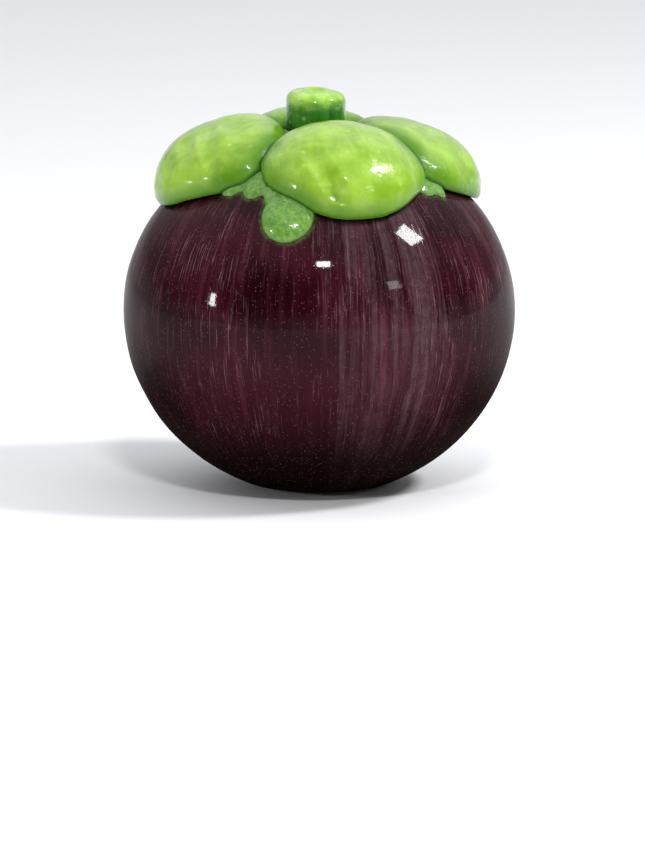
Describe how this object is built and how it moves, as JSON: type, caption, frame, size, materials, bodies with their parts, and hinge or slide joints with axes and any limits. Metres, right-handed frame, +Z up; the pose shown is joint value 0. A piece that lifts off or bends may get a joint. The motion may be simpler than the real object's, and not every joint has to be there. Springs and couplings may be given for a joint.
{
  "type": "moulded mangosteen",
  "caption": "Round maroon mangosteen, moulded as a treat, with puffy lime-green calyx lobes over small under-lobes, a stubby stem and a small flat spot to stand on.",
  "frame": {"origin": "centre of the small flat spot under the fruit, on the surface it stands on", "axes": "+Z up along the stem; -Y towards the side that the picture shows; +X to the right in the picture"},
  "size_m": [0.06, 0.06, 0.0613],
  "materials": {
    "rind": "gloss",
    "sepal": "gloss",
    "calyx_base": "satin",
    "stem": "gloss"
  },
  "bodies": {
    "root": {"fruit_body": "rind", "calyx_base": "calyx_base", "sepal_front": "sepal", "sepal_right": "sepal", "sepal_back": "sepal", "sepal_left": "sepal", "stem": "stem"}
  },
  "joints": []
}
